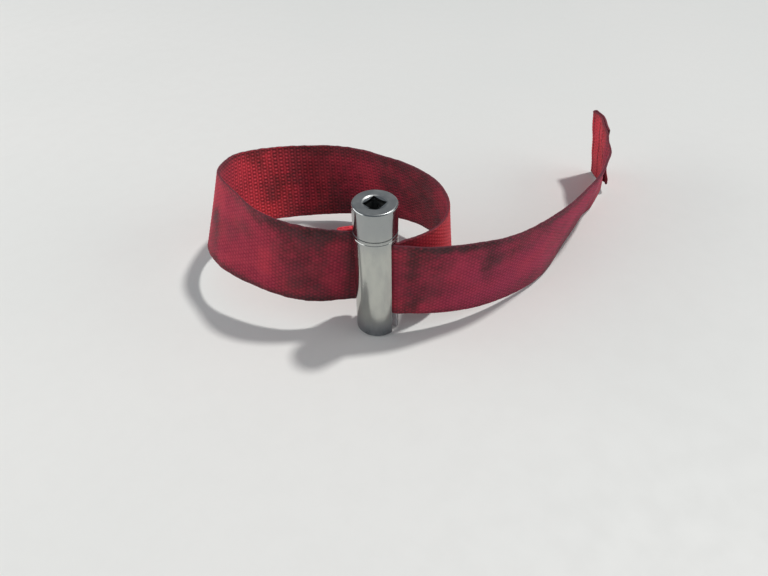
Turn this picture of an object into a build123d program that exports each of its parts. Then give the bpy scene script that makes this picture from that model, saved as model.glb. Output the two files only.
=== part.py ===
from build123d import *
import math
import os

os.makedirs("parts", exist_ok=True)

# ---------------------------------------------------------------------------
# Strap-type oil filter wrench.  Millimetres, +Z up.
# Origin: on the axis of the steel body, in the plane of its open foot.
# The slot runs along X; the free tail leaves it towards +X, the sewn anchor
# sits outside its -X mouth.
# ---------------------------------------------------------------------------

# steel body
BODY_D = 25.4          # outside diameter
BODY_H = 89.5          # overall height
TOP_EDGE_R = 1.0         # rounded rim of the head
FOOT_CHAMFER = 0.6
GROOVE_Z = 71.6        # centre of the turned groove under the head
GROOVE_W = 0.9
GROOVE_DEPTH = 0.4
LINE_Z = 69.2          # second, finer turned line below it
LINE_W = 0.5
LINE_DEPTH = 0.15

# slot for the strap, open at the foot
SLOT_W = 5.2
SLOT_TOP = 67.8
SLOT_EDGE_R = 0.5

# 3/8 inch female square drive
DRIVE_AF = 9.6         # across flats
DRIVE_DEPTH = 12.5
DRIVE_CLOCK = -8.0     # the square stands this many degrees off the slot
DRIVE_SINK_D = 14.4    # mouth of the shallow countersink
DRIVE_SINK_SLOPE = 20.0  # its wall, degrees below the top face
DRIVE_CORNER_R = 0.5
DETENT_R = 2.0         # round detent recesses in the four walls
DETENT_DEPTH = 0.9
DETENT_Z = 5.8         # below the top face

# webbing
STRAP_W = 51.0
STRAP_T = 1.9
FOLD_T = 4.2           # folded and sewn anchor end
FOLD_SIDE = -1.25      # the extra layers stand on the side away from the front layer
HEM_T = 4.6            # folded and sewn tail end
BODY_GAP = 0.4         # gap between spans that belong to different bodies

# Stations along the strap's centreline, from the tip of the anchor fold,
# through the slot, round the loop, through the slot again and out to the
# hem: (distance along the strap, x, y, z, gx, gy, gz) where g is the
# direction across the strap's width, pointing to its upper selvage.
STRAP = [
    (0.00, -21.40, -5.60, 40.70, 0.0000, 0.0000, 1.0000),
    (2.82, -19.46, -3.55, 40.70, 0.0000, 0.0000, 1.0000),
    (5.29, -17.75, -1.77, 40.70, 0.0000, 0.0000, 1.0000),
    (6.79, -16.69, -0.72, 40.70, 0.0000, 0.0000, 1.0000),
    (8.29, -15.50, 0.20, 40.70, 0.0000, 0.0000, 1.0000),
    (9.79, -14.13, 0.79, 40.70, 0.0000, 0.0000, 1.0000),
    (11.29, -12.65, 1.02, 40.70, 0.0000, 0.0000, 1.0000),
    (23.93, -0.00, 1.10, 40.70, 0.0000, 0.0000, 1.0000),
    (36.58, 12.60, 1.51, 40.72, -0.0021, -0.0008, 1.0000),
    (38.08, 13.76, 2.44, 40.76, -0.0067, -0.0025, 1.0000),
    (39.58, 14.61, 3.67, 40.82, -0.0128, -0.0048, 0.9999),
    (41.08, 15.37, 4.96, 40.88, -0.0187, -0.0071, 0.9998),
    (42.58, 16.12, 6.26, 40.92, -0.0228, -0.0090, 0.9997),
    (44.58, 17.17, 7.96, 40.96, -0.0244, -0.0106, 0.9996),
    (47.08, 18.47, 10.09, 40.99, -0.0233, -0.0120, 0.9997),
    (48.58, 19.24, 11.38, 41.00, -0.0224, -0.0127, 0.9997),
    (50.08, 19.99, 12.68, 41.02, -0.0215, -0.0133, 0.9997),
    (51.58, 20.71, 14.00, 41.03, -0.0207, -0.0139, 0.9997),
    (54.58, 22.06, 16.68, 41.06, -0.0193, -0.0148, 0.9997),
    (57.58, 23.25, 19.43, 41.09, -0.0183, -0.0154, 0.9997),
    (60.58, 24.25, 22.26, 41.12, -0.0181, -0.0157, 0.9997),
    (63.58, 25.00, 25.16, 41.14, -0.0187, -0.0159, 0.9997),
    (66.58, 25.49, 28.12, 41.16, -0.0204, -0.0161, 0.9997),
    (69.58, 25.69, 31.11, 41.18, -0.0234, -0.0166, 0.9996),
    (72.58, 25.63, 34.11, 41.19, -0.0275, -0.0176, 0.9995),
    (75.58, 25.32, 37.09, 41.20, -0.0327, -0.0191, 0.9993),
    (78.58, 24.77, 40.04, 41.20, -0.0387, -0.0212, 0.9990),
    (81.58, 24.02, 42.95, 41.20, -0.0454, -0.0239, 0.9987),
    (89.17, 21.24, 49.99, 41.16, -0.0643, -0.0336, 0.9974),
    (96.75, 17.39, 56.52, 41.05, -0.0842, -0.0472, 0.9953),
    (104.33, 12.69, 62.46, 40.87, -0.1030, -0.0638, 0.9926),
    (111.92, 7.27, 67.75, 40.60, -0.1190, -0.0823, 0.9895),
    (119.50, 1.24, 72.33, 40.22, -0.1314, -0.1007, 0.9862),
    (127.09, -5.26, 76.20, 39.74, -0.1397, -0.1169, 0.9833),
    (134.67, -12.13, 79.35, 39.14, -0.1438, -0.1287, 0.9812),
    (142.25, -19.26, 81.82, 38.43, -0.1445, -0.1341, 0.9804),
    (149.84, -26.57, 83.66, 37.63, -0.1428, -0.1312, 0.9810),
    (157.42, -34.00, 84.93, 36.76, -0.1402, -0.1188, 0.9830),
    (165.01, -41.48, 85.71, 35.84, -0.1378, -0.0963, 0.9858),
    (172.59, -49.00, 86.03, 34.90, -0.1364, -0.0637, 0.9886),
    (180.17, -56.52, 85.92, 33.95, -0.1366, -0.0225, 0.9904),
    (187.76, -64.03, 85.34, 33.02, -0.1394, 0.0248, 0.9899),
    (195.34, -71.47, 84.24, 32.11, -0.1455, 0.0753, 0.9865),
    (202.93, -78.82, 82.57, 31.26, -0.1556, 0.1259, 0.9798),
    (210.51, -86.01, 80.30, 30.49, -0.1691, 0.1739, 0.9701),
    (218.09, -92.99, 77.40, 29.85, -0.1848, 0.2166, 0.9586),
    (225.68, -99.69, 73.89, 29.39, -0.2010, 0.2516, 0.9467),
    (233.26, -106.06, 69.78, 29.17, -0.2155, 0.2770, 0.9364),
    (240.84, -112.01, 65.08, 29.23, -0.2262, 0.2928, 0.9290),
    (248.43, -117.44, 59.81, 29.59, -0.2320, 0.3002, 0.9252),
    (256.01, -122.20, 53.96, 30.32, -0.2317, 0.3015, 0.9249),
    (263.60, -126.12, 47.57, 31.41, -0.2236, 0.2990, 0.9277),
    (271.18, -129.04, 40.72, 32.83, -0.2048, 0.2946, 0.9334),
    (278.76, -130.84, 33.55, 34.50, -0.1710, 0.2905, 0.9415),
    (286.35, -131.50, 26.23, 36.33, -0.1201, 0.2906, 0.9493),
    (293.93, -131.09, 18.91, 38.25, -0.0575, 0.2979, 0.9529),
    (301.52, -129.69, 11.73, 40.24, 0.0026, 0.3105, 0.9506),
    (309.10, -127.33, 4.83, 42.30, 0.0446, 0.3220, 0.9457),
    (316.68, -123.92, -1.61, 44.34, 0.0634, 0.3288, 0.9423),
    (324.27, -119.39, -7.39, 46.22, 0.0686, 0.3342, 0.9400),
    (331.85, -113.86, -12.33, 47.75, 0.0733, 0.3446, 0.9359),
    (339.44, -107.57, -16.41, 48.86, 0.0811, 0.3582, 0.9301),
    (347.02, -100.82, -19.78, 49.56, 0.0871, 0.3637, 0.9274),
    (354.60, -93.77, -22.55, 49.91, 0.0863, 0.3505, 0.9326),
    (362.19, -86.52, -24.78, 49.95, 0.0777, 0.3174, 0.9451),
    (369.77, -79.13, -26.44, 49.73, 0.0660, 0.2726, 0.9599),
    (377.36, -71.63, -27.42, 49.29, 0.0573, 0.2288, 0.9718),
    (384.94, -64.08, -27.65, 48.65, 0.0541, 0.1966, 0.9790),
    (392.52, -56.56, -27.06, 47.84, 0.0541, 0.1787, 0.9824),
    (400.11, -49.19, -25.59, 46.92, 0.0539, 0.1705, 0.9839),
    (407.61, -42.15, -23.21, 45.91, 0.0522, 0.1645, 0.9850),
    (415.11, -35.45, -20.02, 44.84, 0.0513, 0.1551, 0.9866),
    (422.61, -29.20, -16.03, 43.75, 0.0561, 0.1382, 0.9888),
    (430.11, -23.43, -11.38, 42.65, 0.0721, 0.1139, 0.9909),
    (431.61, -22.32, -10.39, 42.43, 0.0767, 0.1084, 0.9912),
    (434.61, -20.14, -8.38, 41.99, 0.0865, 0.0968, 0.9915),
    (437.11, -18.35, -6.67, 41.63, 0.0937, 0.0859, 0.9919),
    (439.11, -16.96, -5.26, 41.36, 0.0886, 0.0720, 0.9935),
    (440.61, -15.97, -4.15, 41.17, 0.0718, 0.0557, 0.9959),
    (442.11, -14.98, -3.04, 40.99, 0.0472, 0.0361, 0.9982),
    (443.61, -13.88, -2.02, 40.84, 0.0227, 0.0173, 0.9996),
    (445.11, -12.55, -1.36, 40.74, 0.0064, 0.0049, 1.0000),
    (457.54, -0.14, -1.10, 40.70, 0.0000, 0.0000, 1.0000),
    (469.97, 12.29, -1.03, 40.68, 0.0014, 0.0008, 1.0000),
    (471.47, 13.75, -0.71, 40.61, 0.0074, 0.0042, 1.0000),
    (472.97, 15.02, 0.06, 40.43, 0.0218, 0.0122, 0.9997),
    (474.47, 16.09, 1.08, 40.19, 0.0398, 0.0220, 0.9990),
    (475.97, 17.13, 2.12, 39.93, 0.0546, 0.0292, 0.9981),
    (477.97, 18.62, 3.42, 39.60, 0.0645, 0.0317, 0.9974),
    (480.47, 20.55, 4.96, 39.19, 0.0690, 0.0298, 0.9972),
    (481.97, 21.70, 5.89, 38.94, 0.0709, 0.0284, 0.9971),
    (483.47, 22.84, 6.83, 38.69, 0.0726, 0.0274, 0.9970),
    (484.97, 23.97, 7.78, 38.45, 0.0741, 0.0266, 0.9969),
    (487.97, 26.20, 9.73, 37.95, 0.0763, 0.0261, 0.9967),
    (490.97, 28.37, 11.74, 37.46, 0.0774, 0.0272, 0.9966),
    (493.97, 30.46, 13.83, 36.97, 0.0771, 0.0296, 0.9966),
    (496.97, 32.50, 15.98, 36.48, 0.0755, 0.0329, 0.9966),
    (499.97, 34.46, 18.20, 36.01, 0.0731, 0.0365, 0.9967),
    (507.47, 39.16, 23.92, 34.83, 0.0663, 0.0442, 0.9968),
    (514.97, 43.60, 29.85, 33.66, 0.0619, 0.0482, 0.9969),
    (522.47, 47.81, 35.95, 32.51, 0.0629, 0.0468, 0.9969),
    (529.97, 51.78, 42.22, 31.41, 0.0693, 0.0413, 0.9967),
    (537.47, 55.45, 48.68, 30.40, 0.0769, 0.0356, 0.9964),
    (544.97, 58.76, 55.35, 29.51, 0.0806, 0.0324, 0.9962),
    (552.83, 61.81, 62.55, 28.76, 0.0780, 0.0319, 0.9964),
    (560.69, 64.45, 69.93, 28.17, 0.0714, 0.0319, 0.9969),
    (568.54, 66.71, 77.44, 27.68, 0.0665, 0.0304, 0.9973),
    (576.40, 68.60, 85.05, 27.21, 0.0681, 0.0269, 0.9973),
    (584.26, 70.16, 92.73, 26.75, 0.0773, 0.0220, 0.9968),
    (592.12, 71.42, 100.48, 26.33, 0.0919, 0.0167, 0.9956),
    (599.97, 72.42, 108.26, 25.96, 0.1089, 0.0118, 0.9940),
    (607.40, 73.16, 115.65, 25.67, 0.1250, 0.0074, 0.9921),
    (614.83, 73.73, 123.05, 25.45, 0.1401, 0.0029, 0.9901),
    (622.26, 74.16, 130.46, 25.29, 0.1538, -0.0022, 0.9881),
    (629.69, 74.48, 137.88, 25.20, 0.1656, -0.0079, 0.9862),
    (637.12, 74.67, 145.31, 25.17, 0.1747, -0.0136, 0.9845),
    (644.54, 74.71, 152.74, 25.22, 0.1793, -0.0186, 0.9836),
    (651.97, 74.55, 160.16, 25.36, 0.1777, -0.0225, 0.9838),
    (659.56, 74.13, 167.73, 25.60, 0.1675, -0.0258, 0.9855),
    (667.14, 73.43, 175.27, 25.95, 0.1475, -0.0296, 0.9886),
    (674.72, 72.45, 182.78, 26.40, 0.1177, -0.0354, 0.9924),
    (682.31, 71.26, 190.25, 26.93, 0.0797, -0.0440, 0.9958),
    (689.89, 69.89, 197.68, 27.51, 0.0357, -0.0549, 0.9979),
    (697.47, 68.20, 205.06, 28.06, -0.0113, -0.0649, 0.9978),
    (705.06, 65.64, 212.18, 28.31, -0.0557, -0.0647, 0.9963),
    (712.06, 62.14, 218.22, 28.09, -0.0889, -0.0497, 0.9948),
    (719.06, 58.00, 223.85, 27.60, -0.1146, -0.0277, 0.9930),
    (726.06, 53.70, 229.34, 27.03, -0.1355, -0.0064, 0.9908),
    (733.06, 49.38, 234.81, 26.45, -0.1541, 0.0131, 0.9880),
]
I_TIP, I_REAR0, I_REAR1 = 0, 6, 8
I_FRONT0, I_FRONT1 = 81, 83
I_ROOT_END, I_NEAR_END, I_MID_END, I_FAR_END = 97, 103, 110, 117
I_HEM, I_END = 124, 128
LOOP_CUTS = [27, 34, 41, 48, 55, 62, 69]


def at(i):
    _, x, y, z, gx, gy, gz = STRAP[i]
    return Vector(x, y, z), Vector(gx, gy, gz).normalized()


def tangent(i):
    a = at(max(i - 1, 0))[0]
    b = at(min(i + 1, len(STRAP) - 1))[0]
    return (b - a).normalized()


def section_plane(i, shift=0.0, side=0.0):
    """Plane across the strap at station i: x through its thickness, y across its width."""
    p, g = at(i)
    t = tangent(i)
    nrm = t.cross(g).normalized()
    z_dir = nrm.cross(g).normalized()
    if z_dir.dot(t) < 0:
        z_dir = z_dir * -1
    return Plane(origin=p + t * shift + nrm * side, x_dir=nrm, z_dir=z_dir)


def sections(i0, i1, gap0=0.0, gap1=0.0, side=0.0):
    out = []
    for i in range(i0, i1 + 1):
        shift = gap0 if i == i0 else (-gap1 if i == i1 else 0.0)
        out.append(section_plane(i, shift, side))
    return out


# ---------------------------------------------------------------------------
# steel body: turned blank, slot milled from the foot, square drive on top
# ---------------------------------------------------------------------------
with BuildPart() as socket_body:
    with BuildSketch(Plane.XZ):
        with BuildLine():
            r = BODY_D / 2
            k = TOP_EDGE_R * (1 - 0.5**0.5)
            ThreePointArc((r, BODY_H - TOP_EDGE_R), (r - k, BODY_H - k), (r - TOP_EDGE_R, BODY_H))
            Polyline(
                (r - TOP_EDGE_R, BODY_H),
                (0, BODY_H),
                (0, 0),
                (r - FOOT_CHAMFER, 0),
                (r, FOOT_CHAMFER),
                (r, LINE_Z - LINE_W / 2),
                (r - LINE_DEPTH, LINE_Z),
                (r, LINE_Z + LINE_W / 2),
                (r, GROOVE_Z - GROOVE_W / 2),
                (r - GROOVE_DEPTH, GROOVE_Z - GROOVE_W / 4),
                (r - GROOVE_DEPTH, GROOVE_Z + GROOVE_W / 4),
                (r, GROOVE_Z + GROOVE_W / 2),
                (r, BODY_H - TOP_EDGE_R),
            )
        make_face()
    revolve(axis=Axis.Z)
    with BuildSketch(Plane.XY):
        Rectangle(BODY_D * 1.2, SLOT_W)
    extrude(amount=SLOT_TOP, mode=Mode.SUBTRACT)
    # the four long slot edges are eased so that they don't cut the webbing
    slot_edges = (
        socket_body.edges()
        .filter_by(Axis.Z)
        .filter_by(lambda e: abs(abs(e.center().Y) - SLOT_W / 2) < 0.05 and e.length > 40)
    )
    fillet(slot_edges, SLOT_EDGE_R)
    # square drive, its countersunk mouth and the ball recesses
    with BuildSketch(Plane.XY.offset(BODY_H).rotated((0, 0, DRIVE_CLOCK))):
        RectangleRounded(DRIVE_AF, DRIVE_AF, DRIVE_CORNER_R)
    extrude(amount=-DRIVE_DEPTH, mode=Mode.SUBTRACT)
    sink_r = DRIVE_AF / 2 - 0.05
    sink_depth = (DRIVE_SINK_D / 2 - sink_r) * math.tan(math.radians(DRIVE_SINK_SLOPE))
    with BuildSketch(Plane.XZ):
        with BuildLine():
            Polyline(
                (0, BODY_H),
                (DRIVE_SINK_D / 2, BODY_H),
                (sink_r, BODY_H - sink_depth),
                (0, BODY_H - sink_depth),
                close=True,
            )
        make_face()
    revolve(axis=Axis.Z, mode=Mode.SUBTRACT)
    with Locations((0, 0, BODY_H - DETENT_Z)):
        for turn in (0, 90):
            Cylinder(
                DETENT_R,
                DRIVE_AF + 2 * DETENT_DEPTH,
                rotation=(90, 0, DRIVE_CLOCK + turn),
                mode=Mode.SUBTRACT,
            )
socket_body.part.label = "socket_body"
export_step(socket_body.part, "parts/socket_body.step")

# ---------------------------------------------------------------------------
# sewn anchor end outside the -X mouth of the slot
# ---------------------------------------------------------------------------
with BuildPart() as strap_anchor_fold:
    for plane in sections(I_TIP, I_REAR0, 0.0, 0.9, FOLD_SIDE):
        with BuildSketch(plane):
            Rectangle(FOLD_T, STRAP_W)
    loft(ruled=True)
strap_anchor_fold.part.label = "strap_anchor_fold"
export_step(strap_anchor_fold.part, "parts/strap_anchor_fold.step")

# two seams of thread through the fold, across the strap's width
with BuildPart() as anchor_stitching:
    for i in (I_TIP + 1, I_TIP + 4):
        with BuildSketch(section_plane(i, 0.0, FOLD_SIDE)):
            Rectangle(FOLD_T + 0.5, STRAP_W - 7.0)
        extrude(amount=0.7)
anchor_stitching.part.label = "anchor_stitching"
export_step(anchor_stitching.part, "parts/anchor_stitching.step")

# ---------------------------------------------------------------------------
# the two layers inside the slot
# ---------------------------------------------------------------------------
with BuildPart() as strap_rear_run:
    for plane in sections(I_REAR0, I_REAR1, -0.9):
        with BuildSketch(plane):
            Rectangle(STRAP_T, STRAP_W)
    loft(ruled=True)
strap_rear_run.part.label = "strap_rear_run"
export_step(strap_rear_run.part, "parts/strap_rear_run.step")

with BuildPart() as strap_front_run:
    for plane in sections(I_FRONT0, I_FRONT1):
        with BuildSketch(plane):
            Rectangle(STRAP_T, STRAP_W)
    loft(ruled=True)
strap_front_run.part.label = "strap_front_run"
export_step(strap_front_run.part, "parts/strap_front_run.step")

# ---------------------------------------------------------------------------
# the loop: two bending turns at the slot's mouths, and six spans between
# ---------------------------------------------------------------------------
with BuildPart() as strap_loop_start:
    for plane in sections(I_REAR1, LOOP_CUTS[0]):
        with BuildSketch(plane):
            Rectangle(STRAP_T, STRAP_W)
    loft(ruled=True)
strap_loop_start.part.label = "strap_loop_start"
export_step(strap_loop_start.part, "parts/strap_loop_start.step")

with BuildPart() as strap_loop_right:
    for plane in sections(LOOP_CUTS[0], LOOP_CUTS[1], BODY_GAP, 0.0):
        with BuildSketch(plane):
            Rectangle(STRAP_T, STRAP_W)
    loft(ruled=True)
strap_loop_right.part.label = "strap_loop_right"
export_step(strap_loop_right.part, "parts/strap_loop_right.step")

with BuildPart() as strap_loop_back_right:
    for plane in sections(LOOP_CUTS[1], LOOP_CUTS[2]):
        with BuildSketch(plane):
            Rectangle(STRAP_T, STRAP_W)
    loft(ruled=True)
strap_loop_back_right.part.label = "strap_loop_back_right"
export_step(strap_loop_back_right.part, "parts/strap_loop_back_right.step")

with BuildPart() as strap_loop_back:
    for plane in sections(LOOP_CUTS[2], LOOP_CUTS[3]):
        with BuildSketch(plane):
            Rectangle(STRAP_T, STRAP_W)
    loft(ruled=True)
strap_loop_back.part.label = "strap_loop_back"
export_step(strap_loop_back.part, "parts/strap_loop_back.step")

with BuildPart() as strap_loop_back_left:
    for plane in sections(LOOP_CUTS[3], LOOP_CUTS[4]):
        with BuildSketch(plane):
            Rectangle(STRAP_T, STRAP_W)
    loft(ruled=True)
strap_loop_back_left.part.label = "strap_loop_back_left"
export_step(strap_loop_back_left.part, "parts/strap_loop_back_left.step")

with BuildPart() as strap_loop_left:
    for plane in sections(LOOP_CUTS[4], LOOP_CUTS[5]):
        with BuildSketch(plane):
            Rectangle(STRAP_T, STRAP_W)
    loft(ruled=True)
strap_loop_left.part.label = "strap_loop_left"
export_step(strap_loop_left.part, "parts/strap_loop_left.step")

with BuildPart() as strap_loop_front:
    for plane in sections(LOOP_CUTS[5], LOOP_CUTS[6], 0.0, BODY_GAP):
        with BuildSketch(plane):
            Rectangle(STRAP_T, STRAP_W)
    loft(ruled=True)
strap_loop_front.part.label = "strap_loop_front"
export_step(strap_loop_front.part, "parts/strap_loop_front.step")

with BuildPart() as strap_loop_end:
    for plane in sections(LOOP_CUTS[6], I_FRONT0):
        with BuildSketch(plane):
            Rectangle(STRAP_T, STRAP_W)
    loft(ruled=True)
strap_loop_end.part.label = "strap_loop_end"
export_step(strap_loop_end.part, "parts/strap_loop_end.step")

# ---------------------------------------------------------------------------
# the free tail, out of the +X mouth to the hem
# ---------------------------------------------------------------------------
with BuildPart() as strap_tail_root:
    for plane in sections(I_FRONT1, I_ROOT_END):
        with BuildSketch(plane):
            Rectangle(STRAP_T, STRAP_W)
    loft(ruled=True)
strap_tail_root.part.label = "strap_tail_root"
export_step(strap_tail_root.part, "parts/strap_tail_root.step")

with BuildPart() as strap_tail_near:
    for plane in sections(I_ROOT_END, I_NEAR_END, BODY_GAP, 0.0):
        with BuildSketch(plane):
            Rectangle(STRAP_T, STRAP_W)
    loft(ruled=True)
strap_tail_near.part.label = "strap_tail_near"
export_step(strap_tail_near.part, "parts/strap_tail_near.step")

with BuildPart() as strap_tail_mid:
    for plane in sections(I_NEAR_END, I_MID_END, BODY_GAP, 0.0):
        with BuildSketch(plane):
            Rectangle(STRAP_T, STRAP_W)
    loft(ruled=True)
strap_tail_mid.part.label = "strap_tail_mid"
export_step(strap_tail_mid.part, "parts/strap_tail_mid.step")

with BuildPart() as strap_tail_far:
    for plane in sections(I_MID_END, I_FAR_END):
        with BuildSketch(plane):
            Rectangle(STRAP_T, STRAP_W)
    loft(ruled=True)
strap_tail_far.part.label = "strap_tail_far"
export_step(strap_tail_far.part, "parts/strap_tail_far.step")

with BuildPart() as strap_tail_bend:
    for plane in sections(I_FAR_END, I_HEM):
        with BuildSketch(plane):
            Rectangle(STRAP_T, STRAP_W)
    loft(ruled=True)
strap_tail_bend.part.label = "strap_tail_bend"
export_step(strap_tail_bend.part, "parts/strap_tail_bend.step")

with BuildPart() as strap_hem:
    for plane in sections(I_HEM, I_END):
        with BuildSketch(plane):
            Rectangle(HEM_T, STRAP_W)
    loft(ruled=True)
strap_hem.part.label = "strap_hem"
export_step(strap_hem.part, "parts/strap_hem.step")

# three seams of thread through the hem, across the strap's width
with BuildPart() as hem_stitching:
    for i, shift in ((I_HEM, 1.5), (I_HEM + 2, 0.0), (I_END, -3.0)):
        with BuildSketch(section_plane(i, shift)):
            Rectangle(HEM_T + 0.5, STRAP_W - 7.0)
        extrude(amount=0.7)
hem_stitching.part.label = "hem_stitching"
export_step(hem_stitching.part, "parts/hem_stitching.step")
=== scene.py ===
import bpy, math
import numpy as np
from mathutils import Matrix, Vector


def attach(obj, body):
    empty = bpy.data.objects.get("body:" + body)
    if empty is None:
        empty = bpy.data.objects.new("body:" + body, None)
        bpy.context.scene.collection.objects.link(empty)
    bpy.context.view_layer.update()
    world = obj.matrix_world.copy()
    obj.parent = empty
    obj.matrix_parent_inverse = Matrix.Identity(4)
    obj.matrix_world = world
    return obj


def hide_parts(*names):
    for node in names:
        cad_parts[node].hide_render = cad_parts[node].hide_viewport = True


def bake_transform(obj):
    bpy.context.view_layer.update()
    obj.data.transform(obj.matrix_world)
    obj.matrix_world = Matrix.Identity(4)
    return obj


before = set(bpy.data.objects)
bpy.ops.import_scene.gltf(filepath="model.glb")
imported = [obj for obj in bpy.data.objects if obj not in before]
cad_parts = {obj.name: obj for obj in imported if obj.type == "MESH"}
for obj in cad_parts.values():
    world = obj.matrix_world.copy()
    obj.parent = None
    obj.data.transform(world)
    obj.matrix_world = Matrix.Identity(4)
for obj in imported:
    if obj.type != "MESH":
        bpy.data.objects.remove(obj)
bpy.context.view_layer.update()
MM = 0.001
scene = bpy.context.scene
scene.view_settings.view_transform = "Standard"
scene.view_settings.look = "None"

# ---------------------------------------------------------------------------
# camera: the photograph's viewing angle
# ---------------------------------------------------------------------------
cam_data = bpy.data.cameras.new("camera")
cam = bpy.data.objects.new("camera", cam_data)
scene.collection.objects.link(cam)
cam_data.sensor_width, cam_data.lens = 36.0, 32.150
cam_data.clip_start, cam_data.clip_end = 0.02, 50.0
_right = Vector((0.84500211, 0.53459527, -0.01339163))
_up = Vector((-0.34622957, 0.56600571, 0.74817285))
_back = Vector((0.40754941, -0.62757106, 0.66336871))
cam.matrix_world = Matrix((
    (_right.x, _up.x, _back.x, 0.16939377),
    (_right.y, _up.y, _back.y, -0.25318063),
    (_right.z, _up.z, _back.z, 0.29812134),
    (0, 0, 0, 1),
))
scene.camera = cam

# ---------------------------------------------------------------------------
# floor and light
# ---------------------------------------------------------------------------
FLOOR_Z = -0.00005
me = bpy.data.meshes.new("floor")
S = 3.0
me.from_pydata([(-S, -S, FLOOR_Z), (S, -S, FLOOR_Z), (S, S, FLOOR_Z), (-S, S, FLOOR_Z)], [], [(0, 1, 2, 3)])
floor = bpy.data.objects.new("floor", me)
scene.collection.objects.link(floor)

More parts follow.
